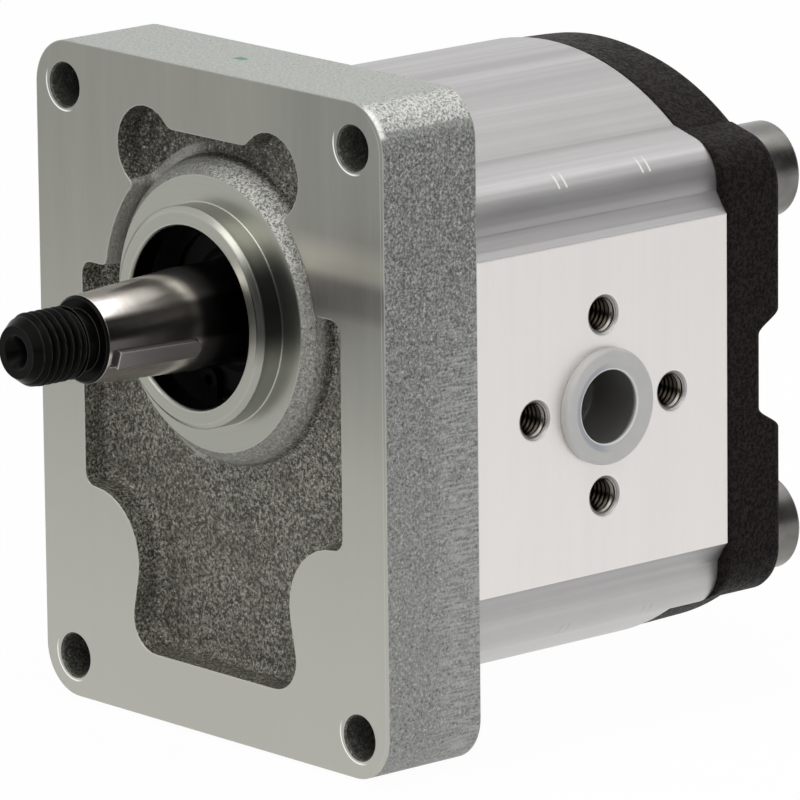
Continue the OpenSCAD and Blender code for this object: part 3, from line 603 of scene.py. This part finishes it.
def rear_cover_casting():
    """A star-shaped disc. Ring k at share u of the outline radius stands at the pad height, less
    the channel (a smooth trough across X), less a quarter round at the edge; then a wall whose
    crowns lean in by the draft towards the back."""
    pad, joint, edge, columns = 86.0 * mm, 74.0 * mm, 0.8 * mm, 720
    channel_depth, channel_half, channel_flank = 4.4 * mm, 6.2 * mm, 3.8 * mm
    theta = np.linspace(0, 2 * np.pi, columns, endpoint=False)
    full = rear_outline_radius(theta)
    # Sharp corners of the outline are held to 0.05 mm above its smoothed form
    waves = np.fft.fftfreq(columns) * columns
    smooth = np.real(np.fft.ifft(np.fft.fft(full) * np.exp(-((waves / 130.0) ** 2))))
    whole = np.minimum(full, smooth + 0.05 * mm)
    # The crowns lean in by the draft, which fades out before the lobes
    draft = 0.7 * mm * np.clip((0.62 - np.abs(np.cos(theta))) / 0.4, 0, 1)
    full = whole - draft
    share = np.concatenate([np.linspace(0.02, 0.9, 60), np.linspace(0.905, 1.0, 24)])
    u, t = np.meshgrid(share, theta, indexing="ij")
    reach = u * full
    x, z = reach * np.cos(t), reach * np.sin(t)
    inward = np.clip(full - reach, 0, edge)
    roll = edge - np.sqrt(np.maximum(edge**2 - (edge - inward) ** 2, 0))
    rise = np.clip((np.abs(z) - channel_half) / channel_flank, 0, 1)
    trough = channel_depth * (1 - rise**2 * (3 - 2 * rise))
    back = np.stack([x, pad - trough - roll, z + pump_z], axis=-1)
    down = np.linspace(0.1, 1.0, 10)[:, None]
    out = whole - draft * (1 - 0.6 * down)
    height = back[-1, :, 1] * (1 - down) + joint * down
    x, z = out * np.cos(theta), out * np.sin(theta) + pump_z
    rings = np.concatenate([back, np.stack([x, height, z], axis=-1)])
    middles = [[0, pad - channel_depth, pump_z], [0, joint, pump_z]]
    return np.concatenate([rings.reshape(-1, 3), middles]), capped_faces(len(rings), columns)


def black_casting_finish():
    """Near-black cast skin, a little paler on its worn edges."""
    finish, tree, shader, place = new_finish("blackened casting")
    skin = placed(tree, cast_skin, {"Place": place, "Grain": 1300.0})
    rolled, wear = rounded_edges(tree, 0.5 * mm, 1.5)
    colour = mixed(tree, skin["Tone"], (0.003, 0.0022, 0.002), (0.015, 0.011, 0.0095))
    feed(tree, shader, {
        "Base Color": painted(tree, colour, (wear, 0.15, (0.10, 0.085, 0.075))),
        "Roughness": blended(tree, skin["Tone"], 0.62, 0.48),
        "Specular IOR Level": 0.08,
    })
    bumped(tree, shader, skin["Height"], 0.5 * mm, 0.85, rolled)
    return finish


rear_cover = made_piece(
    "rear_cover_casting", *rear_cover_casting(), "housing", "black_iron", black_casting_finish()
)
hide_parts("rear_cover")


# Drive shaft: one steel piece with the gear. The 1:8 taper is ground bright, and the M12 x 1.5
# threaded end in front of the relief groove is black. The key sits in a slot along the taper.
thread_start = -29.7 * mm


def solid_copy(name):
    """Points and faces of a CAD node with its loose triangles joined where their corners meet."""
    mesh = nodes[name].data
    where = np.empty(len(mesh.vertices) * 3)
    mesh.vertices.foreach_get("co", where)
    corners = np.empty(len(mesh.loops), dtype=int)
    mesh.loops.foreach_get("vertex_index", corners)
    points, home = np.unique(np.round(where.reshape(-1, 3), 7), axis=0, return_inverse=True)
    faces = home.reshape(-1)[corners.reshape(-1, 3)]
    return points, faces[(faces != np.roll(faces, -1, axis=1)).all(axis=1)]


def end_cap(points, faces):
    """The middle of a solid's one open ring, and a fan of triangles from its edges to that middle,
    which is numbered after the solid's last point."""
    edges = np.concatenate([faces[:, [0, 1]], faces[:, [1, 2]], faces[:, [2, 0]]])
    ahead, behind = edges @ [len(points), 1], edges @ [1, len(points)]
    ring = edges[~np.isin(ahead, behind)]
    fan = np.column_stack([ring[:, ::-1], np.full(len(ring), len(points))])
    return points[ring[:, 0]].mean(axis=0), fan


def threaded_end():
    """Rings along Y whose radius follows the thread ridge between root and crest, run out at the
    groove and cut by the tip chamfer; then the tip face and the centre hole."""
    root, crest, pitch, groove = 5.10 * mm, 6.0 * mm, 1.5 * mm, 5.15 * mm
    tip, run_out, columns = -40.0 * mm, 0.8 * mm, 96
    chamfer_depth, chamfer_length = 1.7 * mm, 2.5 * mm
    angle = np.linspace(0, 2 * np.pi, columns, endpoint=False)
    t, y = np.meshgrid(angle, np.linspace(thread_start, tip, 110))
    radius = root + (crest - root) * thread_ridge(y, t, pitch, 1.25, 0.12)
    radius = groove + (radius - groove) * np.clip((thread_start - y) / run_out, 0, 1)
    cut = np.clip((tip + chamfer_length - y) / chamfer_length, 0, 1)
    radius = np.minimum(radius, crest - chamfer_depth * cut)
    # Tip face and centre hole as radii and depths behind the tip, in mm
    section = np.array([(4.1, 0.0), (2.9, 0.0), (2.5, 0.25), (1.0, 2.8), (1.0, 6.0), (0.05, 6.6)])
    hole_r, hole_y = np.repeat(section[:, :, None], columns, axis=2).transpose(1, 0, 2) * mm
    r, y = np.concatenate([radius, hole_r]), np.concatenate([y, tip + hole_y])
    points = np.stack([r * np.cos(angle), y, r * np.sin(angle)], axis=-1).reshape(-1, 3)
    middles = [[0, thread_start, 0], [0, tip + 6.62 * mm, 0]]
    return np.concatenate([points, middles]), capped_faces(len(r), columns)


def drive_shaft_finish():
    """Ground rings on the taper, and a black threaded end in front of the relief groove."""
    finish, tree, shader, place = new_finish("ground shaft")
    y = axes(tree, place)[1]
    rings = drawn_lines(tree, place, (0.02, 1.0, 0.02), 5200.0)
    cloud = noise(tree, place, 260.0, 6.0)
    rolled, wear = rounded_edges(tree, 0.25 * mm, 2.0)
    black_end = stepped(tree, y, -26.55 * mm, -26.65 * mm)
    # Painted shade darkens the shaft where it runs inside the pilot
    painted_shade_in_pilot = stepped(tree, y, -8 * mm, -3 * mm)
    # A painted reflection: a dark band along the ground taper above the key
    around = vector_maths(tree, "NORMALIZE", vector_maths(tree, "MULTIPLY", place, (1, 0, 1)))
    toward_painted_dark_band = vector_maths(tree, "DOT_PRODUCT", around, (0.974, 0, 0.225))
    ground = painted(
        tree, mixed(tree, rings["Tone"], (0.62, 0.575, 0.545), (0.82, 0.775, 0.745)),
        (painted_shade_in_pilot, 1, (0.12, 0.105, 0.1)),
        (stepped(tree, toward_painted_dark_band, 0.883, 0.951), 0.88, (0.02, 0.018, 0.016)),
    )
    black = mixed(tree, cloud, (0.001, 0.001, 0.001), (0.005, 0.0045, 0.004))
    colour = mixed(tree, black_end, ground, black)
    feed(tree, shader, {
        "Base Color": painted(tree, colour, (wear, 0.25, (0.5, 0.48, 0.45))),
        "Metallic": blended(tree, black_end, 0.97, 0.1),
        "Roughness": blended(tree, black_end, blended(tree, cloud, 0.15, 0.23), 0.3),
        "Specular IOR Level": 0.05,
    })
    grooves = maths(tree, "MULTIPLY", maths(tree, "ADD", rings["Height"], cloud), 0.3)
    bumped(tree, shader, grooves, 0.03 * mm, 0.5, rolled)
    return finish


shaft_finish = drive_shaft_finish()
shaft_points, shaft_faces = solid_copy("drive_gear")
face_y = shaft_points[shaft_faces][:, :, 1].mean(axis=1)
shaft_faces = shaft_faces[face_y > thread_start - 0.05 * mm]
cap_point, cap_faces = end_cap(shaft_points, shaft_faces)
shaft_points = np.concatenate([shaft_points, [cap_point]])
end_points, end_faces = threaded_end()
end_faces = [[i + len(shaft_points) for i in face] for face in end_faces]
shaft = made_piece(
    "drive_shaft", np.concatenate([shaft_points, end_points]),
    shaft_faces.tolist() + cap_faces.tolist() + end_faces,
    "drive", "shaft_steel", shaft_finish,
)
shaft.data.set_sharp_from_angle(angle=np.radians(28))
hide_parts("drive_gear")


# Shaft key: a bar of dark key steel pressed into a slot that is milled along the taper. It stands
# a little proud of the taper and drives the coupling that is pushed onto it.
def lined_finish(name, draw, pitch, colours, rough, metal, relief, edge=None):
    """Bare machined metal. Tool lines vary its colour and roughness between two values each, and
    its relief, given as (depth, strength). An edge is (radius, amount, colour) of its wear."""
    finish, tree, shader, place = new_finish(name)
    lines = drawn_lines(tree, place, draw, pitch)
    colour, rolled = mixed(tree, lines["Tone"], *colours), None
    if edge:
        radius, amount, bright = edge
        rolled, wear = rounded_edges(tree, radius, amount)
        colour = painted(tree, colour, (wear, 1, bright))
    roughness = blended(tree, lines["Tone"], *rough)
    feed(tree, shader, {"Base Color": colour, "Metallic": metal, "Roughness": roughness})
    bumped(tree, shader, lines["Height"], *relief, rolled)
    return finish


key_steel = lined_finish(
    "key steel", draw=(1.0, 0.05, 1.0), pitch=2500.0,
    colours=((0.23, 0.213, 0.215), (0.33, 0.31, 0.31)), rough=(0.28, 0.42), metal=0.9,
    relief=(0.04 * mm, 0.5), edge=(0.3 * mm, 3.0, (0.6, 0.58, 0.55)),
)
dress(key_steel, "shaft_key")


# Driven gear and dowels: the gear that the drive gear turns, in one piece with its journals, and
# two pairs of pins that line the covers up with the body. All are hardened steel, ground round.
gear_steel = lined_finish(
    "ground gear steel", draw=(0.03, 1.0, 0.03), pitch=4000.0,
    colours=((0.40, 0.39, 0.38), (0.60, 0.59, 0.57)), rough=(0.18, 0.32), metal=1.0,
    relief=(0.03 * mm, 0.4),
)
dress(gear_steel, "driven_gear", "front_dowels", "rear_dowels")


# Bearing blocks: machined aluminium, two round lobes with a bush pressed into each. They float in
# the body's bore, one on each side of the gears.
block_metal = lined_finish(
    "machined block", draw=(1.0, 0.04, 1.0), pitch=1800.0,
    colours=((0.50, 0.50, 0.49), (0.68, 0.68, 0.66)), rough=(0.28, 0.4), metal=0.95,
    relief=(0.04 * mm, 0.5), edge=(0.3 * mm, 2.0, (0.8, 0.8, 0.78)),
)
dress(block_metal, "front_bearing_block", "rear_bearing_block")


# Bushes: rolled bronze-backed strip, pressed into the blocks. The journals turn in them, on a
# dull grey-gold running face.
def speckled_finish(name, scale, detail, colours, rough, metal, relief):
    """One even noise varies colour and roughness between two values each, and the relief, given
    as (depth, strength)."""
    finish, tree, shader, place = new_finish(name)
    specks = noise(tree, place, scale, detail)
    colour, roughness = mixed(tree, specks, *colours), blended(tree, specks, *rough)
    feed(tree, shader, {"Base Color": colour, "Metallic": metal, "Roughness": roughness})
    bumped(tree, shader, specks, *relief)
    return finish


bronze = speckled_finish(
    "bush bronze", scale=1400.0, detail=5.0, colours=((0.38, 0.27, 0.13), (0.56, 0.43, 0.24)),
    rough=(0.3, 0.5), metal=0.95, relief=(0.05 * mm, 0.4),
)
dress(bronze, "drive_front_bush", "driven_front_bush", "drive_rear_bush", "driven_rear_bush")


# Seals: moulded black nitrile rubber with a faint bloom. One lies in the back of each bearing
# block and one in each cover joint, and the lip seal is pressed into the pilot round the shaft.
def rubber_finish():
    """A slow bloom in colour and roughness over a fine moulded grain."""
    finish, tree, shader, place = new_finish("seal rubber")
    grain = noise(tree, place, 3000.0, 4.0)
    bloom = noise(tree, place, 160.0, 3.0)
    feed(tree, shader, {
        "Base Color": mixed(tree, bloom, (0.003, 0.003, 0.003), (0.010, 0.0095, 0.009)),
        "Roughness": blended(tree, bloom, 0.45, 0.65),
        "Specular IOR Level": 0.12,
    })
    bumped(tree, shader, grain, 0.04 * mm, 0.4)
    return finish


rubber = rubber_finish()
dress(rubber, "front_pressure_seal", "rear_pressure_seal")
dress(rubber, "front_case_seal", "rear_case_seal", "shaft_seal")


# Backup rings: strips of off-white plastic in the shape of the pressure seals. They lie under
# them, so that the oil doesn't press the rubber into the gap beside the block.
backup = speckled_finish(
    "backup plastic", scale=500.0, detail=4.0, colours=((0.68, 0.66, 0.58), (0.78, 0.76, 0.69)),
    rough=(0.38, 0.5), metal=0.0, relief=(0.03 * mm, 0.3),
)
dress(backup, "front_backup_ring", "rear_backup_ring")


# Circlip and garter spring: a ring of phosphated spring steel, snapped into a groove in the mouth
# of the pilot in front of the lip seal, and a ring of bright wire round that seal's lip.
for name, node, colours in (
    ("phosphated ring", "seal_retaining_ring", ((0.006, 0.0058, 0.0055), (0.022, 0.021, 0.02))),
    ("spring wire", "garter_spring", ((0.3, 0.3, 0.3), (0.5, 0.5, 0.5))),
):
    spring_metal = speckled_finish(
        name, scale=1800.0, detail=5.0, colours=colours, rough=(0.3, 0.5), metal=0.9,
        relief=(0.03 * mm, 0.4),
    )
    dress(spring_metal, node)


# Cover bolts: four long socket-head bolts, put in from the back through the rear cover and the
# body and screwed into the front cover. They are steel, zinc plated to a smooth even grey.
def bolt_finish():
    """Slow clouds in the plating's colour and roughness, paler on worn edges."""
    finish, tree, shader, place = new_finish("bolt zinc")
    cloud = noise(tree, place, 240.0, 6.0)
    grain = noise(tree, place, 2200.0, 3.0)
    rolled, wear = rounded_edges(tree, 0.5 * mm, 1.5)
    colour = mixed(tree, cloud, (0.07, 0.067, 0.062), (0.30, 0.29, 0.27))
    feed(tree, shader, {
        "Base Color": painted(tree, colour, (wear, 0.6, (0.4, 0.4, 0.38))),
        "Metallic": 0.9,
        "Roughness": blended(tree, cloud, 0.22, 0.38),
    })
    bumped(tree, shader, grain, 0.03 * mm, 0.4, rolled)
    return finish


dress(bolt_finish(), "cover_bolts")


# Port plugs: thin soft polyethylene cups pushed into the ports, with a flat rounded lip on the
# milled face. The plastic is milky and lets the dark port show through its floor.
def plug_profile():
    """The cup's section as (radius, height above the port face), lip corners rounded by arcs."""
    outer = [
        (0.02, -10.0), (6.1, -10.0), (6.5, -9.8), (6.65, -9.4), (6.65, -0.3),
        (6.75, 0.02), (9.4, 0.02), (9.58, 0.15),
    ]
    arc = np.radians(np.linspace(0, 90, 9))
    lip = np.column_stack([8.85 + 0.75 * np.cos(arc), 0.95 + 0.85 * np.sin(arc)])
    mouth = [(7.7, 1.8), (7.3, 1.72), (6.9, 1.5), (6.3, 1.32), (6.16, 1.3), (6.1, 1.2)]
    inner = [(6.05, -1.0), (6.0, -4.0), (5.9, -8.4), (5.75, -8.9), (5.3, -9.15), (0.02, -9.2)]
    return np.concatenate([outer, lip, mouth, inner]) * mm


def plug_cup(side):
    """The profile turned about the port's axis, in 120 steps."""
    section, columns = plug_profile(), 120
    angle = np.linspace(0, 2 * np.pi, columns, endpoint=False)
    r, t = np.meshgrid(section[:, 0], angle, indexing="ij")
    h = np.broadcast_to(section[:, 1][:, None], r.shape)
    y, z = port_y + r * np.cos(t), pump_z + r * np.sin(t)
    points = np.stack([side * (port_face + h), y, z], axis=-1).reshape(-1, 3)
    middles = [[side * (port_face + end), port_y, pump_z] for end in section[[0, -1], 1]]
    points = np.concatenate([points, middles])
    return points, facing_out(capped_faces(len(section), columns), side)


def plug_finish():
    """Milky at the lip and outside the body, and more see-through where the cup is in the port."""
    finish, tree, shader, place = new_finish("milky polyethylene")
    x, y, z = axes(tree, place)
    haze = noise(tree, place, 350.0, 5.0)
    out = maths(tree, "ABSOLUTE", x)
    radius = from_port_axis(tree, y, z)
    # Painted shade tints the front half of the mouth, and a painted highlight runs round its inner
    # edge
    shade = all_of(
        tree, band(tree, radius, 6.8 * mm, 0.35 * mm, 0.4 * mm),
        stepped(tree, y, port_y + 1 * mm, port_y - 3 * mm),
    )
    edge = all_of(
        tree, band(tree, radius, 6.2 * mm, 0.1 * mm, 0.06 * mm),
        stepped(tree, out, port_face - 1.5 * mm, port_face - 0.5 * mm),
    )
    colour = painted(
        tree, mixed(tree, haze, (0.58, 0.575, 0.56), (0.66, 0.655, 0.64)),
        (shade, 0.6, (0.30, 0.33, 0.40)),
        (edge, 1, (0.92, 0.93, 0.96)),
    )
    lip = all_of(
        tree, stepped(tree, radius, 6.4 * mm, 6.65 * mm),
        stepped(tree, out, port_face - 0.1 * mm, port_face),
    )
    pulled = stepped(tree, out, port_face + 0.6 * mm, port_face + 1.2 * mm)
    milky = maths(tree, "MAXIMUM", lip, pulled)
    feed(tree, shader, {
        "Base Color": mixed(tree, milky, (0.30, 0.295, 0.28), colour),
        "Alpha": blended(tree, milky, 0.27, 0.96),
        "Transmission Weight": 0.12,
        "IOR": 1.5,
        "Roughness": blended(tree, haze, 0.28, 0.42),
    })
    bumped(tree, shader, haze, 0.05 * mm, 0.3)
    return finish


plug_plastic = plug_finish()
for side, port in ((1, "pressure"), (-1, "suction")):
    plug = made_piece(
        port + "_plug_cup", *plug_cup(side), port + "_plug", "plug_plastic", plug_plastic
    )
    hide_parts(port + "_port_plug")


# Light: a white studio with one large soft lamp on the port side, one in front and one above.
# Each is a square area lamp that faces the pump.
def softbox(name, place, target, size, power):
    """A square soft lamp at a place, turned to a target."""
    data = bpy.data.lights.new(name, "AREA")
    data.shape = "RECTANGLE"
    data.size = data.size_y = size
    data.energy = power
    holder = bpy.data.objects.new(name, data)
    holder.location = place
    aim = Vector(target) - Vector(place)
    holder.rotation_euler = aim.to_track_quat("-Z", "Y").to_euler()
    bpy.context.scene.collection.objects.link(holder)


softbox("port_side_softbox", (1.3, -0.35, 0.95), (0, 0.03, -0.01), 1.1, 8.5)
softbox("front_softbox", (-0.1, -1.15, 1.2), (0, 0, 0), 0.8, 5.5)
softbox("top_softbox", (0.15, 0.25, 1.25), (0, 0.03, 0), 1.5, 8)


# Camera: it stands where the photograph was taken from, at the view found from the mounting
# pattern. The focal length was found in picture points of the 800-point picture.
sensor_width, focal_points, picture_points = 36.0, 9247.5, 800
camera = bpy.data.objects.new("photo_view", bpy.data.cameras.new("photo_view"))
camera.data.sensor_width = sensor_width
camera.data.lens = sensor_width * focal_points / picture_points
camera.data.clip_end = 20
right = Vector((0.6602982, 0.7509255, -0.0108216))
up = Vector((-0.1652457, 0.1593288, 0.9732976))
back = Vector((0.7325982, -0.6408785, 0.2292918))
turned_to_view = Matrix((right, up, back)).transposed().to_4x4()
camera.matrix_world = Matrix.Translation((1.113729, -0.933632, 0.327678)) @ turned_to_view
bpy.context.scene.collection.objects.link(camera)
bpy.context.scene.camera = camera


# Floor: a plain white sheet just under the pump, three metres square. The camera and the metal
# see it glow white, and it keeps the pump's soft shadow.
def seen_rays(tree):
    """Masks of what the camera sees, what gloss shows and what shows through clear plastic."""
    rays = tree.nodes.new("ShaderNodeLightPath").outputs
    return rays["Is Camera Ray"], rays["Is Glossy Ray"], rays["Is Transmission Ray"]


def either(tree, a, b):
    """A mask that is 1 where one mask or the other is."""
    return maths(tree, "MAXIMUM", a, b)


half, floor_z = 1.5, -0.0712
corners = ((-half, -half), (half, -half), (half, half), (-half, half))
floor_corners = [(*corner, floor_z) for corner in corners]
floor_mesh = bpy.data.meshes.new("floor")
floor_mesh.from_pydata(floor_corners, [], [(0, 1, 2, 3)])
floor = bpy.data.objects.new("floor", floor_mesh)
bpy.context.scene.collection.objects.link(floor)
floor_paint, tree, shader, place = new_finish("white floor")
feed(tree, shader, {"Base Color": opaque((0.9, 0.9, 0.9)), "Roughness": 0.9})
by_camera, by_gloss, through = seen_rays(tree)
seen = either(tree, either(tree, by_camera, by_gloss), through)
glow = wire(tree, "Emission", {"Color": (1, 1, 1, 1), "Strength": 1.0}).outputs[0]
glow_share = maths(tree, "MULTIPLY", seen, 0.97)
blend = wire(tree, "MixShader", {0: glow_share, 1: shader.outputs[0], 2: glow}).outputs[0]
feed(tree, tree.nodes["Material Output"], {"Surface": blend})
floor.data.materials.append(floor_paint)


# World: plain white with two unlit zones, one behind the camera and one on the port side towards
# the back. The bright metal shows them as the dark bands of the photo.
world = bpy.data.worlds.new("studio")
bpy.context.scene.world = world
world.use_nodes = True
sky = world.node_tree
by_camera, by_gloss, through = seen_rays(sky)
seen = either(sky, either(sky, by_camera, by_gloss), through)
toward = sky.nodes.new("ShaderNodeTexCoord").outputs["Generated"]
behind_camera = vector_maths(sky, "DOT_PRODUCT", toward, (0.707, -0.619, 0.342))
far_side = vector_maths(sky, "DOT_PRODUCT", toward, (0.793, 0.528, 0.305))
unlit = either(sky, stepped(sky, behind_camera, 0.88, 0.935), stepped(sky, far_side, 0.839, 0.899))
not_straight = maths(sky, "SUBTRACT", 1.0, either(sky, by_camera, through))
unlit = maths(sky, "MULTIPLY", all_of(sky, unlit, not_straight), 0.97)
level = all_of(sky, blended(sky, seen, 0.32, 1.0), maths(sky, "SUBTRACT", 1.0, unlit))
feed(sky, sky.nodes["Background"], {"Color": (1, 1, 1, 1), "Strength": level})
bpy.context.scene.view_settings.view_transform = "Standard"
